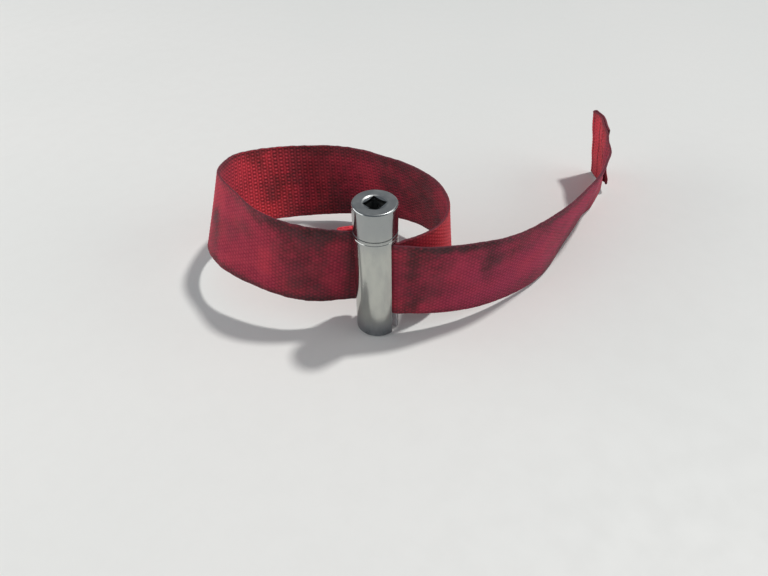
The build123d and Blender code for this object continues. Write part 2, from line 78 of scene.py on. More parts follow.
# ---------------------------------------------------------------------------
# the strap's line: (distance along it, x, y, z, and the direction across its
# width), in millimetres, at the same stations as the CAD part
# ---------------------------------------------------------------------------
STRAP = [
    (0.00, -21.40, -5.60, 40.70, 0.0000, 0.0000, 1.0000),
    (2.82, -19.46, -3.55, 40.70, 0.0000, 0.0000, 1.0000),
    (5.29, -17.75, -1.77, 40.70, 0.0000, 0.0000, 1.0000),
    (6.79, -16.69, -0.72, 40.70, 0.0000, 0.0000, 1.0000),
    (8.29, -15.50, 0.20, 40.70, 0.0000, 0.0000, 1.0000),
    (9.79, -14.13, 0.79, 40.70, 0.0000, 0.0000, 1.0000),
    (11.29, -12.65, 1.02, 40.70, 0.0000, 0.0000, 1.0000),
    (23.93, -0.00, 1.10, 40.70, 0.0000, 0.0000, 1.0000),
    (36.58, 12.60, 1.51, 40.72, -0.0021, -0.0008, 1.0000),
    (38.08, 13.76, 2.44, 40.76, -0.0067, -0.0025, 1.0000),
    (39.58, 14.61, 3.67, 40.82, -0.0128, -0.0048, 0.9999),
    (41.08, 15.37, 4.96, 40.88, -0.0187, -0.0071, 0.9998),
    (42.58, 16.12, 6.26, 40.92, -0.0228, -0.0090, 0.9997),
    (44.58, 17.17, 7.96, 40.96, -0.0244, -0.0106, 0.9996),
    (47.08, 18.47, 10.09, 40.99, -0.0233, -0.0120, 0.9997),
    (48.58, 19.24, 11.38, 41.00, -0.0224, -0.0127, 0.9997),
    (50.08, 19.99, 12.68, 41.02, -0.0215, -0.0133, 0.9997),
    (51.58, 20.71, 14.00, 41.03, -0.0207, -0.0139, 0.9997),
    (54.58, 22.06, 16.68, 41.06, -0.0193, -0.0148, 0.9997),
    (57.58, 23.25, 19.43, 41.09, -0.0183, -0.0154, 0.9997),
    (60.58, 24.25, 22.26, 41.12, -0.0181, -0.0157, 0.9997),
    (63.58, 25.00, 25.16, 41.14, -0.0187, -0.0159, 0.9997),
    (66.58, 25.49, 28.12, 41.16, -0.0204, -0.0161, 0.9997),
    (69.58, 25.69, 31.11, 41.18, -0.0234, -0.0166, 0.9996),
    (72.58, 25.63, 34.11, 41.19, -0.0275, -0.0176, 0.9995),
    (75.58, 25.32, 37.09, 41.20, -0.0327, -0.0191, 0.9993),
    (78.58, 24.77, 40.04, 41.20, -0.0387, -0.0212, 0.9990),
    (81.58, 24.02, 42.95, 41.20, -0.0454, -0.0239, 0.9987),
    (89.17, 21.24, 49.99, 41.16, -0.0643, -0.0336, 0.9974),
    (96.75, 17.39, 56.52, 41.05, -0.0842, -0.0472, 0.9953),
    (104.33, 12.69, 62.46, 40.87, -0.1030, -0.0638, 0.9926),
    (111.92, 7.27, 67.75, 40.60, -0.1190, -0.0823, 0.9895),
    (119.50, 1.24, 72.33, 40.22, -0.1314, -0.1007, 0.9862),
    (127.09, -5.26, 76.20, 39.74, -0.1397, -0.1169, 0.9833),
    (134.67, -12.13, 79.35, 39.14, -0.1438, -0.1287, 0.9812),
    (142.25, -19.26, 81.82, 38.43, -0.1445, -0.1341, 0.9804),
    (149.84, -26.57, 83.66, 37.63, -0.1428, -0.1312, 0.9810),
    (157.42, -34.00, 84.93, 36.76, -0.1402, -0.1188, 0.9830),
    (165.01, -41.48, 85.71, 35.84, -0.1378, -0.0963, 0.9858),
    (172.59, -49.00, 86.03, 34.90, -0.1364, -0.0637, 0.9886),
    (180.17, -56.52, 85.92, 33.95, -0.1366, -0.0225, 0.9904),
    (187.76, -64.03, 85.34, 33.02, -0.1394, 0.0248, 0.9899),
    (195.34, -71.47, 84.24, 32.11, -0.1455, 0.0753, 0.9865),
    (202.93, -78.82, 82.57, 31.26, -0.1556, 0.1259, 0.9798),
    (210.51, -86.01, 80.30, 30.49, -0.1691, 0.1739, 0.9701),
    (218.09, -92.99, 77.40, 29.85, -0.1848, 0.2166, 0.9586),
    (225.68, -99.69, 73.89, 29.39, -0.2010, 0.2516, 0.9467),
    (233.26, -106.06, 69.78, 29.17, -0.2155, 0.2770, 0.9364),
    (240.84, -112.01, 65.08, 29.23, -0.2262, 0.2928, 0.9290),
    (248.43, -117.44, 59.81, 29.59, -0.2320, 0.3002, 0.9252),
    (256.01, -122.20, 53.96, 30.32, -0.2317, 0.3015, 0.9249),
    (263.60, -126.12, 47.57, 31.41, -0.2236, 0.2990, 0.9277),
    (271.18, -129.04, 40.72, 32.83, -0.2048, 0.2946, 0.9334),
    (278.76, -130.84, 33.55, 34.50, -0.1710, 0.2905, 0.9415),
    (286.35, -131.50, 26.23, 36.33, -0.1201, 0.2906, 0.9493),
    (293.93, -131.09, 18.91, 38.25, -0.0575, 0.2979, 0.9529),
    (301.52, -129.69, 11.73, 40.24, 0.0026, 0.3105, 0.9506),
    (309.10, -127.33, 4.83, 42.30, 0.0446, 0.3220, 0.9457),
    (316.68, -123.92, -1.61, 44.34, 0.0634, 0.3288, 0.9423),
    (324.27, -119.39, -7.39, 46.22, 0.0686, 0.3342, 0.9400),
    (331.85, -113.86, -12.33, 47.75, 0.0733, 0.3446, 0.9359),
    (339.44, -107.57, -16.41, 48.86, 0.0811, 0.3582, 0.9301),
    (347.02, -100.82, -19.78, 49.56, 0.0871, 0.3637, 0.9274),
    (354.60, -93.77, -22.55, 49.91, 0.0863, 0.3505, 0.9326),
    (362.19, -86.52, -24.78, 49.95, 0.0777, 0.3174, 0.9451),
    (369.77, -79.13, -26.44, 49.73, 0.0660, 0.2726, 0.9599),
    (377.36, -71.63, -27.42, 49.29, 0.0573, 0.2288, 0.9718),
    (384.94, -64.08, -27.65, 48.65, 0.0541, 0.1966, 0.9790),
    (392.52, -56.56, -27.06, 47.84, 0.0541, 0.1787, 0.9824),
    (400.11, -49.19, -25.59, 46.92, 0.0539, 0.1705, 0.9839),
    (407.61, -42.15, -23.21, 45.91, 0.0522, 0.1645, 0.9850),
    (415.11, -35.45, -20.02, 44.84, 0.0513, 0.1551, 0.9866),
    (422.61, -29.20, -16.03, 43.75, 0.0561, 0.1382, 0.9888),
    (430.11, -23.43, -11.38, 42.65, 0.0721, 0.1139, 0.9909),
    (431.61, -22.32, -10.39, 42.43, 0.0767, 0.1084, 0.9912),
    (434.61, -20.14, -8.38, 41.99, 0.0865, 0.0968, 0.9915),
    (437.11, -18.35, -6.67, 41.63, 0.0937, 0.0859, 0.9919),
    (439.11, -16.96, -5.26, 41.36, 0.0886, 0.0720, 0.9935),
    (440.61, -15.97, -4.15, 41.17, 0.0718, 0.0557, 0.9959),
    (442.11, -14.98, -3.04, 40.99, 0.0472, 0.0361, 0.9982),
    (443.61, -13.88, -2.02, 40.84, 0.0227, 0.0173, 0.9996),
    (445.11, -12.55, -1.36, 40.74, 0.0064, 0.0049, 1.0000),
    (457.54, -0.14, -1.10, 40.70, 0.0000, 0.0000, 1.0000),
    (469.97, 12.29, -1.03, 40.68, 0.0014, 0.0008, 1.0000),
    (471.47, 13.75, -0.71, 40.61, 0.0074, 0.0042, 1.0000),
    (472.97, 15.02, 0.06, 40.43, 0.0218, 0.0122, 0.9997),
    (474.47, 16.09, 1.08, 40.19, 0.0398, 0.0220, 0.9990),
    (475.97, 17.13, 2.12, 39.93, 0.0546, 0.0292, 0.9981),
    (477.97, 18.62, 3.42, 39.60, 0.0645, 0.0317, 0.9974),
    (480.47, 20.55, 4.96, 39.19, 0.0690, 0.0298, 0.9972),
    (481.97, 21.70, 5.89, 38.94, 0.0709, 0.0284, 0.9971),
    (483.47, 22.84, 6.83, 38.69, 0.0726, 0.0274, 0.9970),
    (484.97, 23.97, 7.78, 38.45, 0.0741, 0.0266, 0.9969),
    (487.97, 26.20, 9.73, 37.95, 0.0763, 0.0261, 0.9967),
    (490.97, 28.37, 11.74, 37.46, 0.0774, 0.0272, 0.9966),
    (493.97, 30.46, 13.83, 36.97, 0.0771, 0.0296, 0.9966),
    (496.97, 32.50, 15.98, 36.48, 0.0755, 0.0329, 0.9966),
    (499.97, 34.46, 18.20, 36.01, 0.0731, 0.0365, 0.9967),
    (507.47, 39.16, 23.92, 34.83, 0.0663, 0.0442, 0.9968),
    (514.97, 43.60, 29.85, 33.66, 0.0619, 0.0482, 0.9969),
    (522.47, 47.81, 35.95, 32.51, 0.0629, 0.0468, 0.9969),
    (529.97, 51.78, 42.22, 31.41, 0.0693, 0.0413, 0.9967),
    (537.47, 55.45, 48.68, 30.40, 0.0769, 0.0356, 0.9964),
    (544.97, 58.76, 55.35, 29.51, 0.0806, 0.0324, 0.9962),
    (552.83, 61.81, 62.55, 28.76, 0.0780, 0.0319, 0.9964),
    (560.69, 64.45, 69.93, 28.17, 0.0714, 0.0319, 0.9969),
    (568.54, 66.71, 77.44, 27.68, 0.0665, 0.0304, 0.9973),
    (576.40, 68.60, 85.05, 27.21, 0.0681, 0.0269, 0.9973),
    (584.26, 70.16, 92.73, 26.75, 0.0773, 0.0220, 0.9968),
    (592.12, 71.42, 100.48, 26.33, 0.0919, 0.0167, 0.9956),
    (599.97, 72.42, 108.26, 25.96, 0.1089, 0.0118, 0.9940),
    (607.40, 73.16, 115.65, 25.67, 0.1250, 0.0074, 0.9921),
    (614.83, 73.73, 123.05, 25.45, 0.1401, 0.0029, 0.9901),
    (622.26, 74.16, 130.46, 25.29, 0.1538, -0.0022, 0.9881),
    (629.69, 74.48, 137.88, 25.20, 0.1656, -0.0079, 0.9862),
    (637.12, 74.67, 145.31, 25.17, 0.1747, -0.0136, 0.9845),
    (644.54, 74.71, 152.74, 25.22, 0.1793, -0.0186, 0.9836),
    (651.97, 74.55, 160.16, 25.36, 0.1777, -0.0225, 0.9838),
    (659.56, 74.13, 167.73, 25.60, 0.1675, -0.0258, 0.9855),
    (667.14, 73.43, 175.27, 25.95, 0.1475, -0.0296, 0.9886),
    (674.72, 72.45, 182.78, 26.40, 0.1177, -0.0354, 0.9924),
    (682.31, 71.26, 190.25, 26.93, 0.0797, -0.0440, 0.9958),
    (689.89, 69.89, 197.68, 27.51, 0.0357, -0.0549, 0.9979),
    (697.47, 68.20, 205.06, 28.06, -0.0113, -0.0649, 0.9978),
    (705.06, 65.64, 212.18, 28.31, -0.0557, -0.0647, 0.9963),
    (712.06, 62.14, 218.22, 28.09, -0.0889, -0.0497, 0.9948),
    (719.06, 58.00, 223.85, 27.60, -0.1146, -0.0277, 0.9930),
    (726.06, 53.70, 229.34, 27.03, -0.1355, -0.0064, 0.9908),
    (733.06, 49.38, 234.81, 26.45, -0.1541, 0.0131, 0.9880),
]
STRAP_W, STRAP_T = 51.0, 1.9
S_ALL = np.array([r[0] for r in STRAP])
V_ALL = np.array([r[1:] for r in STRAP], float)
# spans: where the strap is cut into pieces that move in different ways
I_REAR0, I_REAR1, I_FRONT0, I_FRONT1 = 6, 8, 81, 83
LOOP_CUTS = [27, 34, 41, 48, 55, 62, 69]
I_ROOT_END, I_NEAR_END, I_FAR_END, I_HEM, I_END = 97, 103, 117, 124, 128


def natural_spline(x, y):
    """Second derivatives of the cubic spline through (x, y)."""
    n = len(x)
    h = np.diff(x)
    a = np.zeros((n, n))
    r = np.zeros((n, y.shape[1]))
    a[0, 0] = a[-1, -1] = 1.0
    for i in range(1, n - 1):
        a[i, i - 1], a[i, i], a[i, i + 1] = h[i - 1], 2 * (h[i - 1] + h[i]), h[i]
        r[i] = 6 * ((y[i + 1] - y[i]) / h[i] - (y[i] - y[i - 1]) / h[i - 1])
    return np.linalg.solve(a, r)


M_ALL = natural_spline(S_ALL, V_ALL)


def line(s):
    """Centre, direction along, direction across and outward normal of the strap at distances s."""
    s = np.asarray(s, float)
    i = np.clip(np.searchsorted(S_ALL, s) - 1, 0, len(S_ALL) - 2)
    h = (S_ALL[i + 1] - S_ALL[i])[:, None]
    a = (S_ALL[i + 1] - s)[:, None] / h
    b = 1 - a
    v = a * V_ALL[i] + b * V_ALL[i + 1] + ((a**3 - a) * M_ALL[i] + (b**3 - b) * M_ALL[i + 1]) * h * h / 6
    d = (V_ALL[i + 1] - V_ALL[i]) / h + (-(3 * a * a - 1) * M_ALL[i] + (3 * b * b - 1) * M_ALL[i + 1]) * h / 6
    p, g, t = v[:, :3], v[:, 3:], d[:, :3]
    g = g / np.linalg.norm(g, axis=1)[:, None]
    t = t / np.linalg.norm(t, axis=1)[:, None]
    n = np.cross(t, g)
    n /= np.linalg.norm(n, axis=1)[:, None]
    return p, t, g, n


# ---------------------------------------------------------------------------
# the weave: raised warp floats in a 2.49 x 4.17 mm cell, those between them
# half a cell along and lower
# ---------------------------------------------------------------------------
CELL_W, CELL_S = 2.49, 4.17
FACE_W = 24.9          # the flat faces end here and the selvage begins
NW = 120               # quads across a face
NE = 5                 # quads round a selvage
W_FACE = np.linspace(-FACE_W, FACE_W, NW + 1)
RELIEF = 0.30


def smooth(x):
    x = np.clip(x, 0, 1)
    return x * x * (3 - 2 * x)


def weave(s, w, side):
    """Height of the weave, from about -1 (gaps) to +1 (crowns)."""
    a = np.where(side > 0, 0.05, 0.26)
    cw = np.cos(2 * np.pi * w / CELL_W)
    cs = np.cos(2 * np.pi * s / CELL_S + np.where(side > 0, 0.0, 1.3))
    c2 = np.cos(2 * (2 * np.pi * s / CELL_S + np.where(side > 0, 0.0, 1.3)))
    return (cw * (a + 0.50 * cs) + 0.22 * c2) / 0.95


def hash2(i, j, seed):
    x = np.sin(i * 127.1 + j * 311.7 + seed * 74.7) * 43758.5453
    return x - np.floor(x)


def noise2(x, y, seed=0.0):
    """Smooth value noise, -1..1, the same each run."""
    i, j = np.floor(x), np.floor(y)
    u, v = smooth(x - i), smooth(y - j)
    a, b = hash2(i, j, seed), hash2(i + 1, j, seed)
    c, d = hash2(i, j + 1, seed), hash2(i + 1, j + 1, seed)
    return 2 * ((a * (1 - u) + b * u) * (1 - v) + (c * (1 - u) + d * u) * v) - 1


# oil and grime stains, and one painted shadow: (along, across, side, half length, half width, strength)
STAINS_AND_SHADE = [
    # outer face of the loop
    (340.5, 3.0, 1, 2.5, 3.5, 0.55), (345.0, -8.0, 1, 3.5, 5.0, 0.55), (336.0, 1.0, 1, 2.0, 6.0, 0.25),
    (371.0, 9.0, 1, 6.0, 3.0, 0.35), (400.0, 22.5, 1, 20.0, 3.0, 0.55), (415.0, 17.0, 1, 10.0, 6.0, 0.40),
    (400.0, 10.0, 1, 6.0, 5.0, 0.30), (414.0, -3.0, 1, 8.0, 24.0, 0.38), (411.0, -15.0, 1, 6.0, 6.0, 0.35),
    # the full-width mark at 441.5 below is painted shadow where the strap enters the slot beside the body, not a stain
    (432.0, 22.0, 1, 12.0, 3.5, 0.45), (384.0, -24.0, 1, 40.0, 1.5, 0.45), (441.5, 0.0, 1, 3.0, 30.0, 0.60),
    (424.0, 8.0, 1, 3.0, 16.0, 0.20),
    # outer face of the tail
    (480.5, 12.0, 1, 3.5, 12.0, 0.60), (481.5, -18.0, 1, 4.5, 4.5, 0.55), (499.0, 24.0, 1, 9.0, 2.2, 0.75),
    (486.0, 20.0, 1, 6.0, 4.0, 0.45), (496.0, 11.0, 1, 4.5, 3.5, 0.45), (528.5, 7.0, 1, 4.0, 6.5, 0.50),
    (534.0, 11.0, 1, 8.0, 3.5, 0.30), (552.0, 20.0, 1, 20.0, 4.5, 0.42), (560.0, 12.0, 1, 12.0, 4.0, 0.22),
    (518.0, 23.5, 1, 12.0, 2.0, 0.60), (505.0, -5.0, 1, 10.0, 4.0, 0.18), (588.0, 24.0, 1, 22.0, 2.0, 0.50),
    (545.0, -20.0, 1, 25.0, 3.0, 0.25), (600.0, -21.0, 1, 24.0, 6.0, 0.45), (615.0, -8.0, 1, 12.0, 6.0, 0.30),
    (472.5, 0.0, 1, 2.0, 28.0, 0.15), (640.0, -14.0, 1, 18.0, 10.0, 0.35), (490.0, -8.0, 1, 8.0, 5.0, 0.25),
    # inner face of the loop
    (257.0, -4.0, -1, 7.0, 7.0, 0.62), (268.0, 20.0, -1, 5.0, 4.0, 0.62), (240.0, 12.0, -1, 4.0, 14.0, 0.30),
    (225.0, 13.0, -1, 16.0, 10.0, 0.55), (213.0, -15.0, -1, 11.0, 9.0, 0.70), (162.0, 7.0, -1, 7.0, 4.5, 0.60),
    (190.0, -20.0, -1, 14.0, 5.0, 0.45), (143.0, -2.0, -1, 15.0, 12.0, 0.66), (128.0, 12.0, -1, 11.0, 9.0, 0.60),
    (118.0, -12.0, -1, 9.0, 10.0, 0.52), (172.0, 18.0, -1, 8.0, 4.0, 0.30), (200.0, 23.0, -1, 30.0, 2.5, 0.45),
    (150.0, 22.0, -1, 22.0, 3.0, 0.45), (281.0, 4.0, -1, 3.0, 3.0, 0.30), (246.0, -20.0, -1, 9.0, 5.0, 0.35),
    (300.0, 24.0, -1, 20.0, 1.6, 0.35),
    # faces away from the view
    (120.0, 6.0, 1, 14.0, 6.0, 0.45), (160.0, -12.0, 1, 12.0, 7.0, 0.40), (205.0, 10.0, 1, 9.0, 8.0, 0.50),
    (250.0, -6.0, 1, 16.0, 6.0, 0.40), (288.0, 12.0, 1, 8.0, 6.0, 0.35), (360.0, 5.0, -1, 15.0, 7.0, 0.45),
    (405.0, -10.0, -1, 12.0, 8.0, 0.50), (430.0, 12.0, -1, 9.0, 8.0, 0.50), (510.0, 5.0, -1, 14.0, 8.0, 0.45),
    (560.0, -8.0, -1, 16.0, 7.0, 0.40), (625.0, 10.0, -1, 12.0, 6.0, 0.30),
]


def grime_and_shade(s, w, side):
    """Oily soiling on the cloth, with painted light and shade, 0..1: the listed marks, one of them a painted shadow at
    the slot mouth, a broad uneven haze that thins where the strip at the loop's right is painted lighter, and the
    rubbed edges.
    """
    s, w = np.asarray(s, float), np.asarray(w, float)
    wob = noise2(s / 5.2, w / 4.9, 4.0) + 0.9 * noise2(s / 2.7, w / 2.5, 3.0) + 0.6 * noise2(s / 1.3, w / 1.2, 5.0)
    clean = np.ones(s.shape)
    for s0, w0, f, rs, rw, k in STAINS_AND_SHADE:
        d = np.hypot((s - s0) / rs, (w - w0) / rw) / 1.45 + 0.30 * wob
        clean *= 1 - min(0.90, (1.18 if f > 0 else 0.92) * k) * np.exp(-0.85 * np.maximum(d, 0) ** 2) * (np.asarray(side) * f > 0)
    broad = smooth(0.5 + 0.9 * noise2(s / 17.0, w / 11.0, 7.0) + 0.4 * noise2(s / 6.0, w / 5.0, 9.0) - 0.25)
    edge = smooth((np.abs(w) - 19.8 + 1.6 * noise2(s / 9.0, w / 40.0, 15.0)) / 5.5) * smooth((s - 14.0) / 5.0)
    # painted light: the haze thins on the outer face near s 80, where the strip at the loop's right catches grazing
    # light
    broad = broad * (1 - 0.7 * np.exp(-(((s - 80.0) / 22.0) ** 2)) * (np.asarray(side) > 0))
    return 1 - clean * (1 - 0.26 * broad) * (1 - 0.62 * edge * (0.70 + 0.30 * noise2(s / 5.0, w, 11.0)))


def painted_lit_red(s, w, side):
    """Painted light, 0..1: where the cloth is painted brighter and redder to stand in for light, on the key-lit inner
    face at the back left, the grazing strips at the loop's right and front left, the anchor's fold and the hem, with a
    little random variation.
    """
    top = np.exp(-(((s - 264.0) / 26.0) ** 2)) * 0.9 + np.exp(-(((s - 222.0) / 16.0) ** 2)) * 0.25
    out = np.exp(-(((s - 318.0) / 26.0) ** 2)) * 0.35 + np.exp(-(((s - 80.0) / 30.0) ** 2)) * 1.15
    f = np.where(side < 0, top, out)
    f = np.maximum(f, smooth((16.0 - s) / 5.0))
    f = np.maximum(f, 0.75 * smooth((s - 686.0) / 14.0) * (side < 0.5))
    return np.clip(f + 0.18 * noise2(s / 13.0, w / 9.0, 31.0), 0, 1)


def bulge(s, w):
    """Slow waves in the cloth, out of its plane, in millimetres: none at the slot, most near the hem."""
    out = 0.30 * noise2(s / 19.0, w / 30.0, 13.0) * smooth((s - 95) / 25) * smooth((425 - s) / 25)
    far = smooth((s - 640) / 50)
    out = out + far * (0.60 * np.sin(2 * np.pi * (s - 668) / 24.0) * smooth((w + 8) / 30) + 0.18 * np.sin(2 * np.pi * w / 21.0 + 0.7))
    out = out + 0.30 * noise2(s / 23.0, w / 26.0, 17.0) * smooth((s - 505) / 25) * (1 - far)
    # the lower edge tucks in ahead of the hem, and the upper part leans back at the turn
    out = out - 2.6 * smooth((-3 - w) / 20) * smooth((s - 585) / 45) * smooth((676 - s) / 14)
    out = out - 2.6 * smooth((w + 2) / 20) * np.exp(-(((s - 699) / 13.0) ** 2))
    return out


def surface(p, g, n, s, relief=1.0, offset=None, dent=()):
    """Positions (rings, round, 3) of the strap swept along frames p, g, n, with each point's (s, w, side) and its
    soiling with painted shade. s is the distance along the cloth.
    """
    half = STRAP_T / 2
    ang = np.linspace(0, np.pi, NE + 1)[1:-1]
    w = np.concatenate([W_FACE, FACE_W + (STRAP_W / 2 - FACE_W) * np.sin(ang), W_FACE[::-1], -FACE_W - (STRAP_W / 2 - FACE_W) * np.sin(ang)])
    side = np.concatenate([np.ones(NW + 1), np.cos(ang), -np.ones(NW + 1), -np.cos(ang)])
    S, W = np.meshgrid(np.asarray(s, float), w, indexing="ij")
    D = np.broadcast_to(side, S.shape)
    face = np.abs(D) > 0.999
    rel = np.broadcast_to(np.reshape(relief, (-1, 1)), S.shape)
    fade = 1 - 0.65 * smooth((np.abs(W) - 23.0) / 1.8)
    crown = 0.5 + 0.5 * weave(S, W, D)
    depth = np.where(face, RELIEF * rel * fade * (1 - crown), 0.05 * (1 + np.cos(2 * np.pi * S / (CELL_S / 2))) * rel)
    for s0, w0, k in dent:
        depth = depth + face * k * np.exp(-(((S - s0) / 0.75) ** 2)) * smooth((w0 - np.abs(W)) / 1.5)
    wav = 0.16 * noise2(S / 4.3, np.sign(W) * 3.0, 21.0) + 0.10 * noise2(S / 1.9, np.sign(W) * 5.0, 23.0)
    WW = W + wav * smooth((np.abs(W) - 18) / 7) * np.sign(W)
    X = p[:, None] + WW[..., None] * g[:, None] + (D * (half - depth))[..., None] * n[:, None]
    if offset is not None:
        X = X + offset(S, W)
    X[..., 2] = np.maximum(X[..., 2], 0.03)
    return X, np.stack([S, W, D], -1), grime_and_shade(S, W, np.where(D >= 0, 1.0, -1.0))


def build(name, X, info, dirt_and_shade, ext0, ext1, mats):
    """A closed mesh from rings. X has one extra ring before and after where ext0 and ext1 are true, used for the normals only."""
    k, m = X.shape[:2]
    dS = np.gradient(X, axis=0)
    dI = (np.roll(X, -1, 1) - np.roll(X, 1, 1))
    N = np.cross(dS, dI)
    N /= np.maximum(np.linalg.norm(N, axis=2), 1e-12)[..., None]
    a, b = (1 if ext0 else 0), (k - 1 if ext1 else k)
    T0, T1 = X[a] - X[a + 1], X[b - 1] - X[b - 2]
    X, N, info, dirt_and_shade = X[a:b], N[a:b], info[a:b], dirt_and_shade[a:b]
    red = painted_lit_red(info[..., 0], info[..., 1], info[..., 2])
    k = b - a
    idx = np.arange(k * m).reshape(k, m)
    nx = np.roll(idx, -1, 1)
    quads = np.stack([idx[:-1], idx[1:], nx[1:], nx[:-1]], -1).reshape(-1, 4)
    faces = [quads]
    o = np.arange(NW + 1)
    inn = (NW + 1) + (NE - 1) + np.arange(NW + 1)[::-1]
    cap0 = np.stack([idx[0, o[:-1]], idx[0, o[1:]], idx[0, inn[1:]], idx[0, inn[:-1]]], -1)
    cap1 = np.stack([idx[-1, o[:-1]], idx[-1, inn[:-1]], idx[-1, inn[1:]], idx[-1, o[1:]]], -1)
    top = list(range(NW, NW + NE + 1))
    bot = [(2 * (NW + 1) + (NE - 1) - 1 + j) % m for j in range(NE + 1)]
    ng = [[int(idx[0, j]) for j in top], [int(idx[0, j]) for j in bot], [int(idx[-1, j]) for j in top[::-1]], [int(idx[-1, j]) for j in bot[::-1]]]
    loops = np.concatenate([quads.ravel(), cap0.ravel(), cap1.ravel()] + [np.array(x) for x in ng]).astype(np.int32)
    nq = len(quads) + len(cap0) + len(cap1)
    start = np.concatenate([np.arange(nq) * 4, nq * 4 + np.cumsum([0] + [len(x) for x in ng[:-1]])]).astype(np.int32)
    me = bpy.data.meshes.new(name)
    me.vertices.add(k * m)
    me.vertices.foreach_set("co", (X.reshape(-1, 3) * MM).astype(np.float32).ravel())
    me.loops.add(len(loops))
    me.loops.foreach_set("vertex_index", loops)
    me.polygons.add(len(start))
    me.polygons.foreach_set("loop_start", start)
    me.update(calc_edges=True)
    me.validate(verbose=False)
    at = me.attributes.new("strap", "FLOAT_VECTOR", "POINT")
    at.data.foreach_set("vector", info.reshape(-1, 3).astype(np.float32).ravel())
    at = me.attributes.new("dirt_and_shade", "FLOAT", "POINT")
    at.data.foreach_set("value", dirt_and_shade.ravel().astype(np.float32))
    at = me.attributes.new("painted_lit_red", "FLOAT", "POINT")
    at.data.foreach_set("value", red.ravel().astype(np.float32))
    me.polygons.foreach_set("use_smooth", np.ones(len(me.polygons), bool))
    ln = N.reshape(-1, 3)[loops].astype(np.float32)
    q = len(quads) * 4
    e0 = q + cap0.size
    e1 = e0 + cap1.size
    t0, t1 = T0.mean(0), T1.mean(0)
    ln[q:e0] = t0 / np.linalg.norm(t0)
    ln[e0:e1] = t1 / np.linalg.norm(t1)
    c = e1
    for i, x in enumerate(ng):
        tt = t0 if i < 2 else t1
        ln[c:c + len(x)] = tt / np.linalg.norm(tt)
        c += len(x)
    me.normals_split_custom_set(ln.reshape(-1, 3).tolist())
    for mt in mats:
        me.materials.append(mt)
    ob = bpy.data.objects.new(name, me)
    scene.collection.objects.link(ob)
    return ob


def steps(s0, s1):
    return max(2, int(round((s1 - s0) / (CELL_S / 6))))


def wide(vec, amount):
    return amount[..., None] * vec[:, None]


def span(name, s0, s1, relief=None):
    """A plain stretch of strap from s0 to s1."""
    n = steps(s0, s1)
    d = (s1 - s0) / n
    s = np.linspace(s0, s1, n + 1)
    e0, e1 = s0 - d > S_ALL[0], s1 + d < S_ALL[-1]
    s = np.concatenate([[s0 - d] if e0 else [], s, [s1 + d] if e1 else []])
    p, t, g, nn = line(s)
    X, info, dirt_and_shade = surface(p, g, nn, s, 1.0 if relief is None else relief(s), lambda S, W: wide(nn, bulge(S, W)))
    return build(name, X, info, dirt_and_shade, e0, e1, [MAT_WEB])


# ---------------------------------------------------------------------------
# materials
# ---------------------------------------------------------------------------
class Nodes:
    """Short calls for building a node tree."""

    def __init__(self, name):
        self.m = bpy.data.materials.new(name)
        self.m.use_nodes = True
        self.t = self.m.node_tree
        self.p = self.t.nodes["Principled BSDF"]
        self.out = self.t.nodes["Material Output"]

    def node(self, kind, **props):
        n = self.t.nodes.new(kind)
        for k, v in props.items():
            setattr(n, k, v)
        return n

    def put(self, socket, value):
        if isinstance(value, bpy.types.NodeSocket):
            self.t.links.new(value, socket)
        elif value is not None:
            socket.default_value = value

    def math(self, op, a, b=None, c=None, clamp=False):
        n = self.node("ShaderNodeMath", operation=op, use_clamp=clamp)
        for i, v in enumerate((a, b, c)):
            self.put(n.inputs[i], v)
        return n.outputs[0]

    def vmath(self, op, a, b=None):
        n = self.node("ShaderNodeVectorMath", operation=op)
        self.put(n.inputs[0], a)
        self.put(n.inputs[1], b)
        return n.outputs[0]

    def attr(self, name):
        return self.node("ShaderNodeAttribute", attribute_name=name)

    def split(self, vec):
        n = self.node("ShaderNodeSeparateXYZ")
        self.put(n.inputs[0], vec)
        return n.outputs

    def join(self, x, y, z):
        n = self.node("ShaderNodeCombineXYZ")
        for i, v in enumerate((x, y, z)):
            self.put(n.inputs[i], v)
        return n.outputs[0]

    def noise(self, vec, scale, detail=2.0, rough=0.5):
        n = self.node("ShaderNodeTexNoise")
        self.put(n.inputs["Vector"], vec)
        n.inputs["Scale"].default_value = scale
        n.inputs["Detail"].default_value = detail
        n.inputs["Roughness"].default_value = rough
        return n.outputs[0]

    def ramp(self, fac, lo, hi, to0=0.0, to1=1.0, kind="SMOOTHSTEP"):
        n = self.node("ShaderNodeMapRange", interpolation_type=kind)
        self.put(n.inputs[0], fac)
        for i, v in zip((1, 2, 3, 4), (lo, hi, to0, to1)):
            self.put(n.inputs[i], v)
        return n.outputs[0]

    def mix(self, fac, a, b, mode="MIX"):
        n = self.node("ShaderNodeMix", data_type="RGBA", blend_type=mode)
        self.put(n.inputs[0], fac)
        self.put(n.inputs[6], a)
        self.put(n.inputs[7], b)
        return n.outputs[2]

    def bump(self, height, strength, distance, normal=None):
        n = self.node("ShaderNodeBump")
        n.inputs["Strength"].default_value = strength
        n.inputs["Distance"].default_value = distance
        self.put(n.inputs["Height"], height)
        self.put(n.inputs["Normal"], normal)
        return n.outputs[0]


def rgb(h, k=1.0):
    """Linear colour from an sRGB hex string, times k."""
    v = [int(h[i:i + 2], 16) / 255 for i in (0, 2, 4)]
    return tuple(k * (x / 12.92 if x <= 0.04045 else ((x + 0.055) / 1.055) ** 2.4) for x in v) + (1.0,)


def lin(c):
    return tuple(c) + (1.0,)


